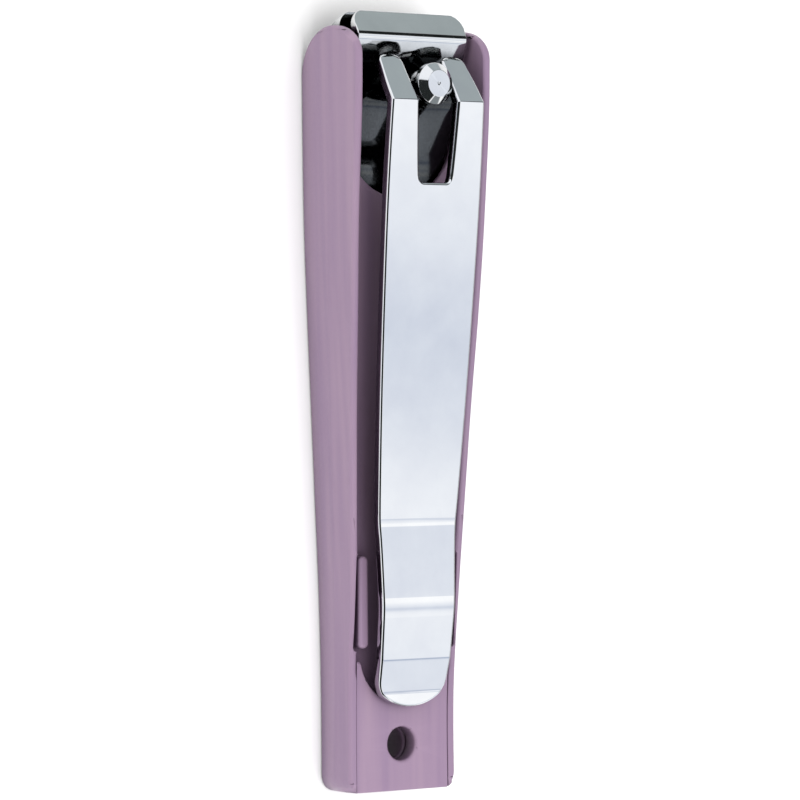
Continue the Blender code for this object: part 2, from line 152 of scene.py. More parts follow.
LOWER_PIN_HOLE, UPPER_PIN_HOLE = 2.0 * MM, 2.8 * MM
DISH_Z = 7.95 * MM
DISH_BELOW, DISH_ABOVE = 0.75 * MM, 0.6 * MM
DISH_LOW_RADIUS, DISH_TOP_RADIUS = 2.6 * MM, 4.0 * MM

# Tail rivet and pivot pin: radii, then heights, with the neck and chamfer measured down from the pin's top.
RIVET_HEAD, RIVET_SHAFT = 2.1 * MM, 1.4 * MM
RIVET_HEAD_HEIGHT, RIVET_ROUNDING = 0.35 * MM, 0.12 * MM
PIN_FACE, PIN_HEAD, PIN_NECK = 1.5 * MM, 2.35 * MM, 1.6 * MM
PIN_SHAFT, PIN_FOOT = 1.7 * MM, 2.9 * MM
PIN_CHAMFER = 0.7 * MM
PIN_NECK_TOP, PIN_NECK_BOTTOM = 1.5 * MM, 3.3 * MM
PIN_FOOT_HEIGHT = 0.9 * MM
PIN_MARK_RADIUS, PIN_MARK_DEPTH = 0.22 * MM, 0.12 * MM

# Lever, in millimetres from its tail: half widths, then (from tail, drop below the crest, fillet radius).
LEVER_PLAN = [
    (3.3, 4.7), (6.3, 4.85), (12.3, 5.0), (18.3, 5.2), (23.3, 5.5),
    (34.3, 5.95), (45.3, 6.25), (57.3, 6.45), (68.3, 6.35), (72.3, 6.0),
]
LEVER_FACE = [
    (0, 6.05, 0), (1.7, 6.05, 2), (5.3, 5.15, 4), (11.3, 4.4, 15),
    (20.8, 4.65, 8), (68.05, 0, 0.3), (73.3, 3.5, 0),
]
LEVER_TAIL_RADIUS = 6.6 * MM
LEVER_CORNER = 1.0 * MM
LEVER_TAIL_EASE = 1.2 * MM
LEVER_EDGE = 0.26 * MM
SLOT_PLAN = [(58.95, 2.1), (62.3, 2.35), (68.3, 2.65), (72.3, 2.7)]
SLOT_CORNER = 0.6 * MM
SLOT_EDGE = 0.42 * MM
SLOT_REACH, SLOT_START = 2.9 * MM, 59.0 * MM  # the slot's edges lie within and beyond these on the flat sheet
TIGHTEST_BEND = 0.05 * MM
NIB_RADIUS = 0.55 * MM
NIB_INNER, NIB_OUTER = 1.95 * MM, 3.2 * MM  # the nibs' ends, from the middle


# ---------------------------------------------------------------- outlines


def from_tail(start_y, table):
    """Metre stations from a table in millimetres from start_y."""
    return [(start_y + MM * along, MM * value) for along, value in table]


def catmull_rom(p, q, r, s, t):
    bend = 2 * p - 5 * q + 4 * r - s
    twist = 3 * q - p - 3 * r + s
    return (2 * q + t * (r - p) + t**2 * bend + t**3 * twist) / 2


def smooth_points(stations):
    """Points on a smooth curve through the stations."""
    ends = [stations[0]] + stations + [stations[-1]]
    points = []
    for around in zip(ends, ends[1:], ends[2:], ends[3:]):
        for step in range(CURVE_STEPS):
            points.append(tuple(catmull_rom(*values, step / CURVE_STEPS) for values in zip(*around)))
    points.append(stations[-1])
    return points


def value_at(points, y):
    """The value at y on a run of (y, value) points that climbs in y."""
    for (y0, v0), (y1, v1) in zip(points, points[1:]):
        if y <= y1:
            return v0 + (v1 - v0) * (y - y0) / (y1 - y0)
    return points[-1][1]


def arc(centre, radii, start, end):
    """Points on an elliptic arc, from start to end degrees."""
    start, end = math.radians(start), math.radians(end)
    steps = max(2, math.ceil(abs(end - start) / ARC_STEP))
    points = []
    for step in range(steps + 1):
        angle = start + (end - start) * step / steps
        points.append((centre[0] + radii[0] * math.cos(angle), centre[1] + radii[1] * math.sin(angle)))
    return points


def bezier(start, control, end, steps=6):
    """Points on a curve from start to end that leaves and arrives in the direction of control."""
    points = []
    for step in range(1, steps + 1):
        t = step / steps
        blend = ((1 - t) ** 2, 2 * t * (1 - t), t**2)
        points.append(tuple(sum(b * p for b, p in zip(blend, values)) for values in zip(start, control, end)))
    return points


def filleted(corners):
    """A path through (y, z, fillet radius) corners; radius 0 is sharp."""
    points = [corners[0][:2]]
    for before, (y, z, radius), after in zip(corners, corners[1:], corners[2:]):
        if radius == 0:
            points.append((y, z))
            continue
        into = math.atan2(z - before[1], y - before[0])
        out = math.atan2(after[1] - z, after[0] - y)
        turn = math.remainder(out - into, math.tau)
        side = math.copysign(1.0, turn)
        back = radius * math.tan(abs(turn) / 2)
        start_y = y - back * math.cos(into)
        start_z = z - back * math.sin(into)
        centre = (start_y - side * radius * math.sin(into), start_z + side * radius * math.cos(into))
        first = math.degrees(into) - side * 90
        points += arc(centre, (radius, radius), first, first + math.degrees(turn))
    points.append(corners[-1][:2])
    return points


def offset(path, distance):
    """The path moved to its left by distance, with mitred corners."""
    normals = []
    for (y0, z0), (y1, z1) in zip(path, path[1:]):
        length = math.hypot(y1 - y0, z1 - z0)
        normals.append((-(z1 - z0) / length, (y1 - y0) / length))
    moved = []
    for (y, z), before, after in zip(path, normals[:1] + normals, normals + normals[-1:]):
        mitre = distance / (1 + before[0] * after[0] + before[1] * after[1])
        moved.append((y + mitre * (before[0] + after[0]), z + mitre * (before[1] + after[1])))
    return moved


def both_sides(right):
    """A closed plan outline from its right half, listed as (x, y) from tail to head."""
    return right + [(-x, y) for x, y in reversed(right)]


def rounded_box(x, y, width, length, corner):
    dx = width / 2 - corner
    dy = length / 2 - corner
    points = []
    for turn, (side_x, side_y) in enumerate(((1, -1), (1, 1), (-1, 1), (-1, -1))):
        start = -90 + 90 * turn
        points += arc((x + side_x * dx, y + side_y * dy), (corner, corner), start, start + 90)
    return points


# ---------------------------------------------------------------- meshes


def new_object(name, work):
    """An object of the bmesh, with its faces turned outwards."""
    bmesh.ops.remove_doubles(work, verts=work.verts, dist=SAME_POINT)
    bmesh.ops.recalc_face_normals(work, faces=work.faces)
    mesh = bpy.data.meshes.new(name)
    work.to_mesh(mesh)
    work.free()
    made = bpy.data.objects.new(name, mesh)
    bpy.context.scene.collection.objects.link(made)
    return made


def loft(name, rings):
    """A solid through rings of equally many points, closed by a cap at each end."""
    work = bmesh.new()
    loops = [[work.verts.new(point) for point in ring] for ring in rings]
    for low, high in zip(loops, loops[1:]):
        for a, b, c, d in zip(low, low[1:] + low[:1], high[1:] + high[:1], high):
            work.faces.new((a, b, c, d))
    work.faces.new(loops[0])
    work.faces.new(loops[-1])
    return new_object(name, work)


def prism(name, outline, low, high, across=False):
    """A solid of the flat outline, from low to high along Z, or along X when the outline is in (y, z)."""
    rings = []
    for level in (low, high):
        rings.append([(level, u, v) if across else (u, v, level) for u, v in outline])
    return loft(name, rings)


def rod(name, radius, low, high, y, top_radius=None):
    """An upright cylinder or cone on the line x = 0."""
    rings = []
    for level, r in ((low, radius), (high, top_radius or radius)):
        rings.append([(x, at_y, level) for x, at_y in arc((0.0, y), (r, r), 0, 360)[:-1]])
    return loft(name, rings)


def apply_modifiers(piece):
    graph = bpy.context.evaluated_depsgraph_get()
    mesh = bpy.data.meshes.new_from_object(piece.evaluated_get(graph))
    piece.modifiers.clear()
    piece.data = mesh


def combine(piece, other, operation="DIFFERENCE"):
    """Cuts, joins or trims the piece with the other object, which is then removed."""
    modifier = piece.modifiers.new("combine", "BOOLEAN")
    modifier.operation = operation
    modifier.object = other
    apply_modifiers(piece)
    bpy.data.objects.remove(other)


def weld(piece):
    """Removes the very short edges that a Boolean leaves, so that a bevel runs clean."""
    work = bmesh.new()
    work.from_mesh(piece.data)
    bmesh.ops.remove_doubles(work, verts=work.verts, dist=SHORT_EDGE)
    bmesh.ops.dissolve_degenerate(work, edges=work.edges, dist=FLAT_EDGE)
    work.to_mesh(piece.data)
    work.free()


def round_edges(piece, width_of, sharpness=30.0, segments=4):
    """Rounds each sharp edge by width_of(edge) metres."""
    weld(piece)
    work = bmesh.new()
    work.from_mesh(piece.data)
    layers = work.edges.layers.float
    layer = layers.get("bevel_weight_edge") or layers.new("bevel_weight_edge")
    widths = {}
    for edge in work.edges:
        if len(edge.link_faces) == 2 and edge.calc_face_angle() > math.radians(sharpness):
            widths[edge.index] = width_of(edge)
    widest = max(widths.values())
    for edge in work.edges:
        edge[layer] = widths.get(edge.index, 0.0) / widest
    work.to_mesh(piece.data)
    work.free()
    bevel = piece.modifiers.new("rounding", "BEVEL")
    bevel.limit_method = "WEIGHT"
    bevel.width = widest
    bevel.segments = segments
    bevel.use_clamp_overlap = False
    bevel.loop_slide = True
    apply_modifiers(piece)


def everywhere(width):
    return lambda edge: width


def shade(piece):
    """Smooth shading whose normals follow the larger faces, so that flats stay flat."""
    piece.data.shade_smooth()
    weighted = piece.modifiers.new("normals", "WEIGHTED_NORMAL")
    weighted.weight = 80


def turned(name, profile, y, segments=96):
    """A solid turned about the upright line at y, from a (radius, z) profile that starts and ends at 0."""
    work = bmesh.new()
    rows = []
    for radius, z in profile:
        if radius == 0:
            rows.append([work.verts.new((0.0, y, z))] * segments)
            continue
        angles = [math.tau * step / segments for step in range(segments)]
        rows.append([work.verts.new((radius * math.cos(a), y + radius * math.sin(a), z)) for a in angles])
    for above, below in zip(rows, rows[1:]):
        for step in range(segments):
            after = (step + 1) % segments
            corners = [above[step], above[after], below[after], below[step]]
            corners = [corner for n, corner in enumerate(corners) if corner not in corners[:n]]
            work.faces.new(corners)
    return new_object(name, work)


# ---------------------------------------------------------------- sheath


sheath_plan = smooth_points(from_tail(TAIL_Y, SHEATH_PLAN))
sheath_rim = smooth_points(from_tail(TAIL_Y, SHEATH_RIM))


def sheath_outline(inset, tail_y, head_y=PAST_NOSE_Y):
    """The sheath's plan, moved in from its sides by inset and cut off square at both ends."""
    right = [(value_at(sheath_plan, tail_y) - inset, tail_y)]
    right += [(half - inset, y) for y, half in sheath_plan if tail_y < y < head_y]
    right.append((value_at(sheath_plan, head_y) - inset, head_y))
    return both_sides(right)


def sheath_side():
    """The side view: flat back, sloping rim and rounded nose."""
    back = arc((NOSE_Y - NOSE_BACK[0], NOSE_TIP_Z), NOSE_BACK, -90, 0)
    front = arc((NOSE_Y - NOSE_FRONT[0], NOSE_TIP_Z), NOSE_FRONT, 0, 90)
    rim = [(y, z) for y, z in sheath_rim if y < NOSE_Y - NOSE_FRONT[0] - NOSE_EASE]
    return [(TAIL_Y - MM, 0.0)] + back + front[1:] + rim[::-1] + [(TAIL_Y - MM, rim[0][1])]


def sheath_body():
    """The sheath as a block whose sides lean in from a crease at the moulding's parting line."""
    tail_half = value_at(sheath_plan, TAIL_Y)
    corner = arc((tail_half - TAIL_CORNER, TAIL_Y + TAIL_CORNER), (TAIL_CORNER, TAIL_CORNER), -85, 0)
    plan = [(y, half) for half, y in corner]
    plan += [(y, half) for y, half in sheath_plan if y > TAIL_Y + TAIL_CORNER]
    plan[0] = (TAIL_Y, plan[0][1])
    rings = []
    for y, half in plan:
        rim = value_at(sheath_rim, y)
        crease = CREASE_SHARE * rim
        over = rim + MM
        side = [
            (half - LEAN_BACK, 0.0),
            (half, crease - CREASE_HALF),
            (half, crease + CREASE_HALF),
            (half - LEAN_RIM * (over - crease) / (rim - crease), over),
        ]
        rings.append([(x, y, z) for x, z in side] + [(-x, y, z) for x, z in reversed(side)])
    return loft("rear_shell_fine", rings)


def make_rear_shell():
    shell = sheath_body()
    combine(shell, prism("side", sheath_side(), -REACH, REACH, across=True), "INTERSECT")
    combine(shell, prism("chamber", sheath_outline(WALL, TAIL_BLOCK_Y), FLOOR, REACH))
    tab_seat = sheath_outline(WALL, TAIL_Y, TAB_SEAT_Y)
    tab_seat = [(x, y - MM if y == TAIL_Y else y) for x, y in tab_seat]
    combine(shell, prism("tab_seat", tab_seat, TAIL_BLOCK_HEIGHT, REACH))
    half = value_at(sheath_plan, LUG_Y) - WALL + NOTCH_DEPTH
    notch = rounded_box(0.0, LUG_Y, 2 * half, NOTCH_LENGTH, NOTCH_DEPTH)
    combine(shell, prism("notches", notch, NOTCH_BOTTOM, REACH))
    combine(shell, rod("lanyard", LANYARD_RADIUS, -MM, REACH, LANYARD_Y))
    round_edges(shell, shell_edge)
    return shell


def by_lanyard(point):
    return math.hypot(point.x, point.y - LANYARD_Y) < LANYARD_RADIUS + EDGE_MARGIN


def shell_edge(edge):
    """Full rounding on the rim, small in the lug notches and beside the tab, none at the walls' ends."""
    middle = (edge.verts[0].co + edge.verts[1].co) / 2
    inner = abs(middle.x) < value_at(sheath_plan, middle.y) - WALL / 2
    if by_lanyard(middle):
        return HOLE_ROUNDING
    if inner and middle.y < TAIL_Y + WALL_END and middle.z > WALL_END_Z:
        return 0.0
    in_notch = abs(middle.y - LUG_Y) < NOTCH_LENGTH / 2 + EDGE_MARGIN
    return SMALL_ROUNDING if inner and (in_notch or middle.y < TAB_SEAT_Y) else RIM_ROUNDING


def bed_line(y):
    return BED_HEIGHT + BED_SLOPE * (y - BED_Y)


def make_front_plate():
    """The plate with its raised tail tab, sloping lever bed, two lugs and rounded throat."""
    head_y = PLATE_HIGH.y
    top = [(y, z - TAB_DROP) for y, z in sheath_rim if TAIL_Y < y < head_y]
    under = [(head_y, bed_line(head_y) - PLATE_THICKNESS), (BED_Y, TAB_UNDERSIDE), (TAIL_Y, TAB_UNDERSIDE)]
    side = [(TAIL_Y, top[0][1])] + top + [(head_y, top[-1][1])] + under
    plan = sheath_outline(WALL + PLATE_GAP, PLATE_LOW.y)
    plate = prism("front_plate_fine", plan, 0.0, REACH)
    combine(plate, prism("side", side, -REACH, REACH, across=True), "INTERSECT")

    end_radii = (BED_END_RADIUS, BED_END_RADIUS)
    end = arc((0.0, BED_END_Y + BED_END_RADIUS), end_radii, -90, -12)
    bed = prism("bed", both_sides(end[1:] + [(REACH, BED_FLARE_Y), (REACH, PAST_NOSE_Y)]), 0.0, REACH)
    above = [(y, bed_line(y)) for y in (TAIL_Y, PAST_NOSE_Y)] + [(PAST_NOSE_Y, REACH), (TAIL_Y, REACH)]
    combine(bed, prism("slope", above, -REACH, REACH, across=True), "INTERSECT")
    combine(plate, bed)
    combine(plate, rod("throat", THROAT_RADIUS, -MM, REACH, head_y))
    combine(plate, rod("lanyard", LANYARD_RADIUS, -MM, REACH, LANYARD_Y))
    round_edges(plate, plate_edge)

    for x in (-LUG_X, LUG_X):
        outline = rounded_box(x, LUG_Y, LUG_WIDTH, LUG_LENGTH, LUG_CORNER)
        lug = prism("lug", outline, bed_line(LUG_Y) - LUG_ROOT, LUG_HEIGHT)
        round_edges(lug, everywhere(LUG_ROUNDING))
        combine(plate, lug, "UNION")
    return plate


def plate_edge(edge):
    """A generous rounding on the lanyard hole's rim, and a small one where the tab meets the walls."""
    middle = (edge.verts[0].co + edge.verts[1].co) / 2
    if by_lanyard(middle):
        return HOLE_ROUNDING
    at_wall = abs(middle.x) > value_at(sheath_plan, middle.y) - WALL - PLATE_GAP - EDGE_MARGIN
    return SEAM_ROUNDING if at_wall and middle.y < BED_Y else PLATE_ROUNDING


# ---------------------------------------------------------------- steel


def arm_outline():
    """The plan of both arms: a tapered strip with the wide jaw at its head."""
    plan = smooth_points(from_tail(ARM_TAIL_Y, ARM_PLAN))
    sides_start = ARM_TAIL_Y + ARM_TAIL_CORNER + EDGE_MARGIN
    sides = [(half, y) for y, half in plan if sides_start < y < EDGE_Y - JAW_CORNER]
    tail_half = plan[0][1]
    corner_radii = (ARM_TAIL_CORNER, ARM_TAIL_CORNER)
    tail = arc((tail_half - ARM_TAIL_CORNER, ARM_TAIL_Y + ARM_TAIL_CORNER), corner_radii, -90, 0)
    jaw = arc((sides[-1][0] - JAW_CORNER, EDGE_Y - JAW_CORNER), (JAW_CORNER, JAW_CORNER), 0, 90)
    return both_sides(tail + sides + jaw)


def arm_side(face, thickness, edge_z):
    """An arm's side view: outer face, inner face, and a flat ground behind the cutting edge."""
    outer = filleted([(ARM_TAIL_Y + MM * along, MM * z, MM * radius) for along, z, radius in face])
    inner = offset(outer, thickness)
    while (inner[-1][1] - edge_z) * thickness >= 0:
        y1, z1 = inner.pop()
    y0, z0 = inner[-1]
    ground_y = y0 + (y1 - y0) * (edge_z - z0) / (z1 - z0)
    return outer + [(ground_y, edge_z)] + inner[::-1]


def arm_edge(edge):
    """A fine rounding round the jaw's thin tip, and the usual one elsewhere."""
    middle_y = (edge.verts[0].co.y + edge.verts[1].co.y) / 2
    return JAW_EDGE if middle_y > EDGE_Y - JAW_CORNER - EDGE_MARGIN else ARM_EDGE


def make_arm(name, face, thickness, edge_z):
    arm = prism(name, arm_outline(), -MM, REACH)
    combine(arm, prism("side", arm_side(face, thickness, edge_z), -REACH, REACH, across=True), "INTERSECT")
    combine(arm, rod("rivet_hole", RIVET_HOLE_RADIUS, -MM, REACH, RIVET_Y))
    return arm


def make_lower_arm():
    arm = make_arm("lower_arm_fine", LOWER_FACE, STEEL, LOWER_EDGE_Z)
    combine(arm, rod("pin_hole", LOWER_PIN_HOLE, -MM, REACH, PIN_Y))
    combine(arm, rod("sink", SINK_RADIUS, -MM, RIVET_LOW.z + SINK_DEPTH, RIVET_Y))
    round_edges(arm, arm_edge, segments=3)
    return arm


def make_upper_arm():
    arm = make_arm("upper_arm_fine", UPPER_FACE, -STEEL, UPPER_EDGE_Z)
    combine(arm, rod("pin_hole", UPPER_PIN_HOLE, -MM, REACH, PIN_Y))
    dish = rod("dish", DISH_LOW_RADIUS, DISH_Z - DISH_BELOW, DISH_Z + DISH_ABOVE, PIN_Y, DISH_TOP_RADIUS)
    combine(arm, dish)
    combine(arm, rod("sink", SINK_RADIUS, RIVET_HIGH.z - SINK_DEPTH, REACH, RIVET_Y))
    round_edges(arm, arm_edge, segments=3)
    return arm


def make_tail_rivet():
    low, high = RIVET_LOW.z, RIVET_HIGH.z
    under_head, over_foot = high - RIVET_HEAD_HEIGHT, low + RIVET_HEAD_HEIGHT
    profile = filleted([
        (0.0, high, 0), (RIVET_HEAD, high, RIVET_ROUNDING), (RIVET_HEAD, under_head, RIVET_ROUNDING),
        (RIVET_SHAFT, under_head, 0), (RIVET_SHAFT, over_foot, 0),
        (RIVET_HEAD, over_foot, RIVET_ROUNDING), (RIVET_HEAD, low, RIVET_ROUNDING), (0.0, low, 0),
    ])
    return turned("tail_rivet_fine", profile, RIVET_Y)


def make_pivot_pin():
    """Foot, shaft, neck and chamfered head, with a small centre mark in the head."""
    low, high = PIN_LOW.z, PIN_HIGH.z
    neck_top, neck_bottom = high - PIN_NECK_TOP, high - PIN_NECK_BOTTOM
    foot_top = low + PIN_FOOT_HEIGHT
    profile = filleted([
        (0.0, high - PIN_MARK_DEPTH, 0), (PIN_MARK_RADIUS, high, 0.05 * MM), (PIN_FACE, high, 0.12 * MM),
        (PIN_HEAD, high - PIN_CHAMFER, 0.15 * MM), (PIN_HEAD, neck_top, 0.12 * MM),
        (PIN_NECK, neck_top, 0), (PIN_NECK, neck_bottom, 0), (PIN_SHAFT, neck_bottom, 0),
        (PIN_SHAFT, foot_top, 0), (PIN_FOOT, foot_top, 0.2 * MM), (PIN_FOOT, low, 0.2 * MM),
        (0.0, low, 0),
    ])
    return turned("pivot_pin_fine", profile, PIN_Y)


def lever_outline():
    """The lever's outline from above: round tail, swelling sides, and the fork with its slot."""
    tail_y = LEVER_LOW.y
    plan = [(half, y) for y, half in smooth_points(from_tail(tail_y, LEVER_PLAN))]
    corner_angle = math.asin(plan[0][0] / LEVER_TAIL_RADIUS)
    corner = (plan[0][0], tail_y + LEVER_TAIL_RADIUS * (1 - math.cos(corner_angle)))
    eased_angle = math.degrees(corner_angle - LEVER_TAIL_EASE / LEVER_TAIL_RADIUS)
    tail_radii = (LEVER_TAIL_RADIUS, LEVER_TAIL_RADIUS)
    tail = arc((0.0, tail_y + LEVER_TAIL_RADIUS), tail_radii, -90, -90 + eased_angle)[1:]
    sides = [(x, y) for x, y in plan if y > corner[1] + LEVER_TAIL_EASE]
    tail_corner = bezier(tail[-1], corner, sides[0])

    corner_radii = (LEVER_CORNER, LEVER_CORNER)
    tip_x, tip_y = plan[-1]
    outer_tip = arc((tip_x - LEVER_CORNER, tip_y), corner_radii, 0, 90)
    slot = [(half, y) for y, half in smooth_points(from_tail(tail_y, SLOT_PLAN))]
    slot_x, slot_y = slot[-1]
    inner_tip = arc((slot_x + LEVER_CORNER, slot_y), corner_radii, 90, 180)
    end_x, end_y = slot[0]
    slot_sides = [(x, y) for x, y in slot if end_y + SLOT_CORNER + EDGE_MARGIN < y < slot_y]
    slot_end = arc((end_x - SLOT_CORNER, end_y + SLOT_CORNER), (SLOT_CORNER, SLOT_CORNER), 0, -90)
    fork = outer_tip[1:] + inner_tip + slot_sides[::-1] + slot_end
    return both_sides(tail + tail_corner + sides[1:] + fork)


def sheet_lines(corners, thickness):
    """The outer line through (y, z, fillet) corners, and the inner line below it, point for point."""
    outer = filleted(corners)
    path = [corner[:2] for corner in corners]
    moved = offset(path, -thickness)
    inner = [(*moved[0], 0)]
    for n in range(1, len(corners) - 1):
        (y0, z0), (y1, z1), (y2, z2) = path[n - 1 : n + 2]
        turns_up = (y1 - y0) * (z2 - z1) > (z1 - z0) * (y2 - y1)
        radius = corners[n][2] + (thickness if turns_up else -thickness)
        inner.append((*moved[n], max(radius, TIGHTEST_BEND)))
    inner.append((*moved[-1], 0))
    return outer, filleted(inner)


def bend_sheet(sheet, along, outer, inner, thickness):
    """Bends a flat sheet, whose y runs along and z through it, onto the outer and inner lines."""
    work = bmesh.new()
    work.from_mesh(sheet.data)
    for station in along[1:-1]:
        everything = work.verts[:] + work.edges[:] + work.faces[:]
        bmesh.ops.bisect_plane(
            work, geom=everything, dist=CUT_MARGIN, plane_co=(0.0, station, 0.0), plane_no=(0.0, 1.0, 0.0)
        )
    outer_runs = [list(zip(along, values)) for values in zip(*outer)]
    inner_runs = [list(zip(along, values)) for values in zip(*inner)]
    for vert in work.verts:
        share = 1 - vert.co.z / thickness
        outer_y, outer_z = [value_at(run, vert.co.y) for run in outer_runs]
        inner_y, inner_z = [value_at(run, vert.co.y) for run in inner_runs]
        vert.co.y = outer_y + share * (inner_y - outer_y)
        vert.co.z = outer_z + share * (inner_z - outer_z)
    work.to_mesh(sheet.data)
    work.free()


def lever_edge(edge):
    """The slot's edges are eased more than the outer ones."""
    in_slot = all(abs(vert.co.x) < SLOT_REACH and vert.co.y > SLOT_START for vert in edge.verts)
    return SLOT_EDGE if in_slot else LEVER_EDGE


def make_lever():
    corners = [(LEVER_LOW.y + MM * along, LEVER_HIGH.z - MM * drop, MM * r) for along, drop, r in LEVER_FACE]
    outer, inner = sheet_lines(corners, STEEL)
    along = [0.0]
    for (y0, z0), (y1, z1) in zip(outer, outer[1:]):
        along.append(along[-1] + math.hypot(y1 - y0, z1 - z0))
    unrolled = [(y, length) for (y, z), length in zip(outer, along)]
    lever = prism("lever_fine", [(x, value_at(unrolled, y)) for x, y in lever_outline()], 0.0, STEEL)
    round_edges(lever, lever_edge, sharpness=60.0)
    bend_sheet(lever, along, outer, inner, STEEL)
    axle_z = frame["joints"][-1]["pos_m"][2]
    nib = arc((PIN_Y, axle_z), (NIB_RADIUS, NIB_RADIUS), 0, 360)[:-1]
    for low, high in ((NIB_INNER, NIB_OUTER), (-NIB_OUTER, -NIB_INNER)):
        combine(lever, prism("nib", nib, low, high, across=True), "UNION")
    return lever


# ---------------------------------------------------------------- materials


# Painted reflection: the arms are painted dark behind their heads, in place of the dark inside of the sheath
# that they would mirror.
PAINTED_DARK_REFLECTION = (0.20, 0.21, 0.22)
DARK_REFLECTION_BELOW = PIN_Y + 3.2 * MM
DARK_REFLECTION_FADE = 1.0 * MM


class Nodes:
    """Short calls for making and joining a material's nodes."""

    def __init__(self, tree):
        self.tree = tree

    def add(self, kind, **settings):
        node = self.tree.nodes.new(kind)
        for name, value in settings.items():
            setattr(node, name, value)
        return node

    def join(self, source, target):
        self.tree.links.new(source, target)

    def feed(self, source, target):
        """Sets the target to a number or a colour, or joins it to a socket."""
        if isinstance(source, float):
            target.default_value = source
        elif isinstance(source, tuple):
            target.default_value = (*source, 1.0)
        else:
            self.join(source, target)

    def noise(self, scale, stretch=(1.0, 1.0, 1.0), detail=3.0):
        """Noise in object space; scale is in waves per metre."""
        place = self.add("ShaderNodeTexCoord")
        mapping = self.add("ShaderNodeMapping")
        mapping.inputs["Scale"].default_value = stretch
        self.join(place.outputs["Object"], mapping.inputs["Vector"])
        texture = self.add("ShaderNodeTexNoise")
        texture.inputs["Scale"].default_value = scale
        texture.inputs["Detail"].default_value = detail
        self.join(mapping.outputs["Vector"], texture.inputs["Vector"])
        return texture.outputs["Fac"]

    def ramp(self, value, low, high, start=0.3, end=0.7):
        """Colour low to high as value goes from start to end."""
        ramp = self.add("ShaderNodeValToRGB")
        ramp.color_ramp.elements[0].position = start
        ramp.color_ramp.elements[1].position = end
        ramp.color_ramp.elements[0].color = (*low, 1.0)
        ramp.color_ramp.elements[1].color = (*high, 1.0)
        self.join(value, ramp.inputs["Fac"])
        return ramp.outputs["Color"]

    def spread(self, value, low, high, start=0.3, end=0.7):
        """A number low to high as value goes from start to end."""
        node = self.add("ShaderNodeMapRange")
        for name, setting in (("From Min", start), ("From Max", end), ("To Min", low), ("To Max", high)):
            node.inputs[name].default_value = setting
        self.join(value, node.inputs["Value"])
        return node.outputs["Result"]

    def mix(self, share, first, second, blend="MIX"):
        node = self.add("ShaderNodeMix", data_type="RGBA", blend_type=blend)
        self.feed(share, node.inputs["Factor"])
        self.feed(first, node.inputs["A"])
        self.feed(second, node.inputs["B"])
        return node.outputs["Result"]

    def maths(self, operation, first, second):
        node = self.add("ShaderNodeMath", operation=operation)
        self.feed(first, node.inputs[0])
        self.feed(second, node.inputs[1])
        return node.outputs["Value"]

    def bump(self, height, strength, distance):
        node = self.add("ShaderNodeBump")
        node.inputs["Strength"].default_value = strength
        node.inputs["Distance"].default_value = distance
        self.join(height, node.inputs["Height"])
        return node.outputs["Normal"]


def new_material(name):
    """A material, its node helper and its shader."""
    material = bpy.data.materials.new(name)
    material.use_nodes = True
    return material, Nodes(material.node_tree), material.node_tree.nodes["Principled BSDF"]


def painted_recess_shade(nodes, colour, reach, dark, closed, clear):
    """Painted shade: the colour, darkened towards dark where less than a clear share of the sky is in reach.
    """
    sky = nodes.add("ShaderNodeAmbientOcclusion", samples=8)
    sky.inputs["Distance"].default_value = reach
    shade = nodes.ramp(sky.outputs["AO"], dark, (1.0, 1.0, 1.0), closed, clear)
    return nodes.mix(1.0, colour, shade, "MULTIPLY")


def moulded_plastic(name, pale, deep):
    """Mauve plastic: flow streaks along the moulding, fine grain, painted shade in crevices, and lighter
    sharp edges.
    """
    material, nodes, shader = new_material(name)
    streaks = nodes.noise(650.0, stretch=(1.0, 0.03, 1.0), detail=2.0)
    colour = nodes.ramp(streaks, pale, deep)
    # Sharp edges are made lighter.
    edges = nodes.spread(nodes.add("ShaderNodeNewGeometry").outputs["Pointiness"], 0.0, 0.35, 0.52, 0.60)
    lighter_edge = tuple(min(1.0, 1.2 * value + 0.02) for value in pale)
    colour = nodes.mix(edges, colour, lighter_edge)
    # Painted shade: darker in crevices and in the lever bed, where little of the sky is in reach.
    colour = painted_recess_shade(nodes, colour, reach=5.0 * MM, dark=(0.20, 0.15, 0.20), closed=0.12, clear=0.70)
    nodes.join(colour, shader.inputs["Base Color"])
    nodes.join(nodes.spread(nodes.noise(2500.0), 0.36, 0.50), shader.inputs["Roughness"])
    nodes.join(nodes.bump(nodes.noise(9000.0, detail=2.0), 0.12, 0.00002), shader.inputs["Normal"])
    shader.inputs["Specular IOR Level"].default_value = 0.4
    return material


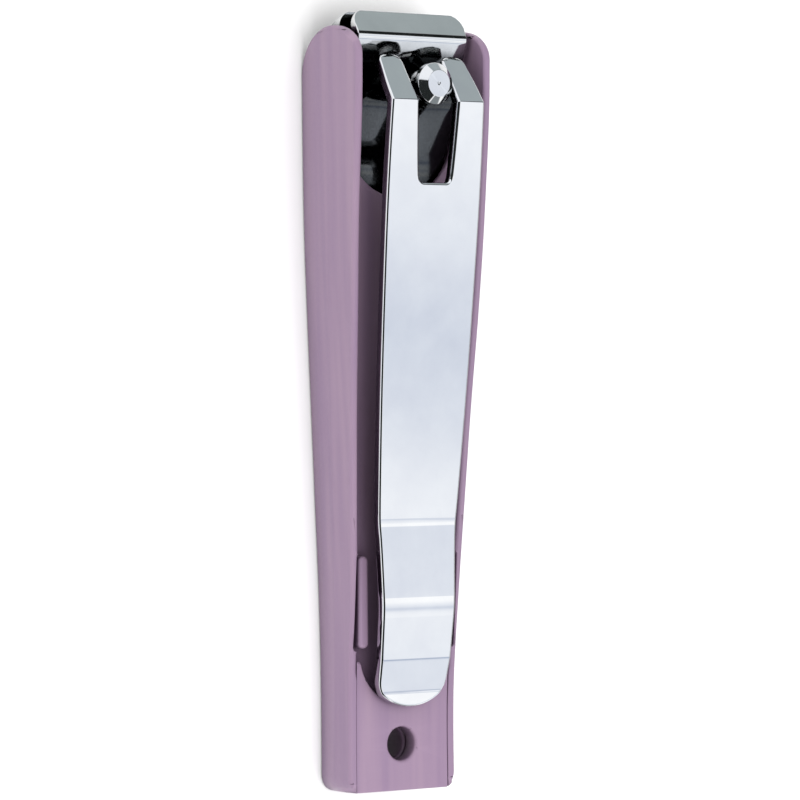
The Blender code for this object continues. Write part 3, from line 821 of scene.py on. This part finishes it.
def polished_steel(name, dark, light, rough_low, rough_high, dark_reflection_below=None):
    """Chromed steel: polishing lines, smudges, bright edges, painted shade in recesses, and a painted dark
    reflection below a given y.
    """
    material, nodes, shader = new_material(name)
    smudges = nodes.noise(260.0)
    lines = nodes.noise(5200.0, stretch=(1.0, 0.02, 1.0), detail=2.0)
    colour = nodes.ramp(smudges, dark, light)
    edges = nodes.spread(nodes.add("ShaderNodeNewGeometry").outputs["Pointiness"], 0.0, 0.4, 0.52, 0.62)
    bright = tuple(min(1.0, value + 0.05) for value in light)
    colour = nodes.mix(edges, colour, bright)
    # Painted reflection: behind the pin the arms are painted dark, standing in for the dark sheath they would
    # mirror.
    if dark_reflection_below is not None:
        split = nodes.add("ShaderNodeSeparateXYZ")
        nodes.join(nodes.add("ShaderNodeTexCoord").outputs["Object"], split.inputs["Vector"])
        dark_reflection_share = nodes.spread(split.outputs["Y"], 1.0, 0.0, dark_reflection_below, dark_reflection_below + DARK_REFLECTION_FADE)
        colour = nodes.mix(dark_reflection_share, colour, PAINTED_DARK_REFLECTION)
    # Painted shade: darker in recesses, where little of the sky is in reach.
    colour = painted_recess_shade(nodes, colour, reach=10.0 * MM, dark=(0.04, 0.045, 0.045), closed=0.40, clear=0.70)
    nodes.join(colour, shader.inputs["Base Color"])
    rough = nodes.spread(smudges, rough_low, rough_high)
    grain = nodes.spread(lines, 0.0, 0.02)
    nodes.join(nodes.maths("ADD", rough, grain), shader.inputs["Roughness"])
    nodes.join(nodes.bump(lines, 0.02, 0.000004), shader.inputs["Normal"])
    shader.inputs["Metallic"].default_value = 1.0
    return material


def floor_surface():
    material, nodes, shader = new_material("pale_floor")
    mottle = nodes.ramp(nodes.noise(14.0), (0.90, 0.90, 0.90), (0.93, 0.93, 0.93))
    nodes.join(mottle, shader.inputs["Base Color"])
    nodes.join(nodes.spread(nodes.noise(300.0), 0.75, 0.85), shader.inputs["Roughness"])
    return material


# ---------------------------------------------------------------- studio


def band(nodes, value, low, high, soft=0.03):
    """1 where value lies between low and high, falling softly to 0 outside."""
    rise = nodes.add("ShaderNodeMapRange", interpolation_type="SMOOTHSTEP")
    fall = nodes.add("ShaderNodeMapRange", interpolation_type="SMOOTHSTEP")
    for node, edge, first, last in ((rise, low, 0.0, 1.0), (fall, high, 1.0, 0.0)):
        node.inputs["From Min"].default_value = edge - soft
        node.inputs["From Max"].default_value = edge + soft
        node.inputs["To Min"].default_value = first
        node.inputs["To Max"].default_value = last
        nodes.join(value, node.inputs["Value"])
    return nodes.maths("MULTIPLY", rise.outputs["Result"], fall.outputs["Result"])


# Cards round the set, as (colour, x range, y range) of the direction they lie in.
CARDS = (
    ((0.33, 0.37, 0.38), (0.10, 2.0), (0.60, 2.0)),
    ((0.01, 0.012, 0.012), (0.15, 2.0), (0.27, 0.60)),
    ((0.015, 0.018, 0.018), (-0.97, 0.12), (-0.95, 0.30)),
    ((0.06, 0.07, 0.07), (0.86, 2.0), (-0.40, 0.27)),
    ((0.22, 0.24, 0.25), (0.20, 2.0), (-2.0, -0.72)),
)


# Brightness of the white room that polished steel mirrors, against the y of the direction.
ROOM = (
    (-0.60, 1.00), (-0.50, 0.80), (-0.37, 0.75), (-0.31, 0.42), (-0.27, 0.82), (-0.23, 0.90),
    (-0.195, 0.92), (-0.178, 0.88), (-0.160, 0.74), (-0.140, 0.68), (-0.115, 0.82), (-0.090, 0.90),
    (-0.070, 1.00), (-0.020, 1.00), (-0.008, 0.78), (0.040, 0.74), (0.20, 0.85), (0.60, 0.90),
)
MIRRORED_GAIN = 1.5  # the room is this much brighter in steel, which mirrors only two thirds of it


def gradient(nodes, value, stops, tint):
    """A tinted grey that follows the (value, brightness) stops."""
    first, last = stops[0][0], stops[-1][0]
    ramp = nodes.add("ShaderNodeValToRGB")
    elements = ramp.color_ramp.elements
    for position, _ in stops[1:-1]:
        elements.new((position - first) / (last - first))
    for element, (position, brightness) in zip(elements, stops):
        element.position = (position - first) / (last - first)
        element.color = (*[brightness**power for power in tint], 1.0)
    nodes.join(nodes.spread(value, 0.0, 1.0, first, last), ramp.inputs["Fac"])
    return ramp.outputs["Color"]


def make_world():
    """An even white light on matt surfaces, and for reflections a white room with the dark cards."""
    world = bpy.data.worlds.new("studio")
    bpy.context.scene.world = world
    world.use_nodes = True
    nodes = Nodes(world.node_tree)
    background = world.node_tree.nodes["Background"]
    place = nodes.add("ShaderNodeTexCoord")
    split = nodes.add("ShaderNodeSeparateXYZ")
    nodes.join(place.outputs["Generated"], split.inputs["Vector"])
    x, y = split.outputs["X"], split.outputs["Y"]
    room = gradient(nodes, y, ROOM, (1.15, 1.0, 0.7))
    for colour, (x_low, x_high), (y_low, y_high) in CARDS:
        inside = nodes.maths("MULTIPLY", band(nodes, x, x_low, x_high), band(nodes, y, y_low, y_high))
        room = nodes.mix(inside, room, colour)
    glossy = nodes.add("ShaderNodeLightPath").outputs["Is Glossy Ray"]
    nodes.join(nodes.mix(glossy, (1.0, 1.0, 1.0), room), background.inputs["Color"])
    nodes.join(nodes.spread(glossy, 1.0, MIRRORED_GAIN, 0.0, 1.0), background.inputs["Strength"])


def make_light(name, position, target, size, power):
    """A soft panel that lights matt surfaces but isn't mirrored."""
    light = bpy.data.lights.new(name, "AREA")
    light.size = size
    light.energy = power
    panel = bpy.data.objects.new(name, light)
    panel.location = position
    panel.rotation_euler = (Vector(target) - Vector(position)).to_track_quat("-Z", "Y").to_euler()
    panel.visible_glossy = False
    bpy.context.scene.collection.objects.link(panel)


STAGE_HALF = 1.2
STAGE_DROP = 0.02 * MM  # gap that keeps the floor from touching the object


def make_floor():
    work = bmesh.new()
    bmesh.ops.create_grid(work, x_segments=8, y_segments=8, size=STAGE_HALF)
    floor = new_object("floor", work)
    floor.location.z = cad_box[0].z - STAGE_DROP
    floor.data.materials.append(floor_surface())


VIEW_TURN = math.radians(36.0)  # the view is this far to the left of the lever face
CAMERA_DISTANCE = 0.48
CAMERA_LENS = 190.9
CAMERA_ROLL = math.radians(-0.45)
AIM_HEIGHT = 0.45  # share of the object's height that the view is centred on
AIM_LEFT, AIM_UP = 0.17 * MM, 0.3 * MM  # the view's centre from the middle of the object


def make_camera():
    low, high = cad_box
    target = Vector(((low.x + high.x) / 2, (low.y + high.y) / 2, low.z + AIM_HEIGHT * (high.z - low.z)))
    back = Vector((-math.sin(VIEW_TURN), 0.0, math.cos(VIEW_TURN)))
    right = Vector((math.cos(VIEW_TURN), 0.0, math.sin(VIEW_TURN)))
    axes = Matrix((right, (0.0, 1.0, 0.0), back)).transposed()
    camera = bpy.data.objects.new("camera", bpy.data.cameras.new("camera"))
    turn = axes.to_4x4() @ Matrix.Rotation(CAMERA_ROLL, 4, "Z")
    target += Vector((0.0, AIM_UP, 0.0)) - AIM_LEFT * right
    camera.matrix_world = Matrix.Translation(target + CAMERA_DISTANCE * back) @ turn
    camera.data.lens = CAMERA_LENS
    camera.data.clip_start = 0.01
    bpy.context.scene.collection.objects.link(camera)
    bpy.context.scene.camera = camera


# ---------------------------------------------------------------- the set


make_camera()
make_world()
make_floor()
make_light("key", (-0.05, -0.15, 0.6), (0.0, 0.0, 0.0), 0.5, 2.2)
make_light("left_fill", (-0.6, 0.05, 0.2), (0.0, 0.0, 0.005), 0.4, 0.35)

plastic = moulded_plastic("mauve_plastic", (0.300, 0.208, 0.292), (0.250, 0.170, 0.262))
lever_chrome = polished_steel("lever_chrome", (0.62, 0.63, 0.65), (0.66, 0.67, 0.68), 0.02, 0.05)
arm_chrome = polished_steel("arm_chrome", (0.60, 0.61, 0.61), (0.66, 0.67, 0.67), 0.04, 0.10, DARK_REFLECTION_BELOW)
pin_chrome = polished_steel("pin_chrome", (0.60, 0.61, 0.62), (0.66, 0.67, 0.68), 0.05, 0.10)
rivet_steel = polished_steel("rivet_steel", (0.55, 0.55, 0.56), (0.62, 0.62, 0.63), 0.25, 0.35)

PIECES = (
    (make_rear_shell, "rear_shell", "case", plastic, "sheath_plastic"),
    (make_front_plate, "front_plate", "case", plastic, "sheath_plastic"),
    (make_lower_arm, "lower_arm", "lower_arm", arm_chrome, "arm_chrome"),
    (make_upper_arm, "upper_arm", "upper_arm", arm_chrome, "arm_chrome"),
    (make_tail_rivet, "tail_rivet", "lower_arm", rivet_steel, "rivet_steel"),
    (make_pivot_pin, "pivot_pin", "pin", pin_chrome, "pin_chrome"),
    (make_lever, "lever", "lever", lever_chrome, "lever_chrome"),
)
for make, node, body, material, slot in PIECES:
    piece = make()
    shade(piece)
    piece.data.materials.clear()
    piece.data.materials.append(material)
    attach(piece, body)
    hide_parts(node)

bpy.context.scene.view_settings.view_transform = "Standard"
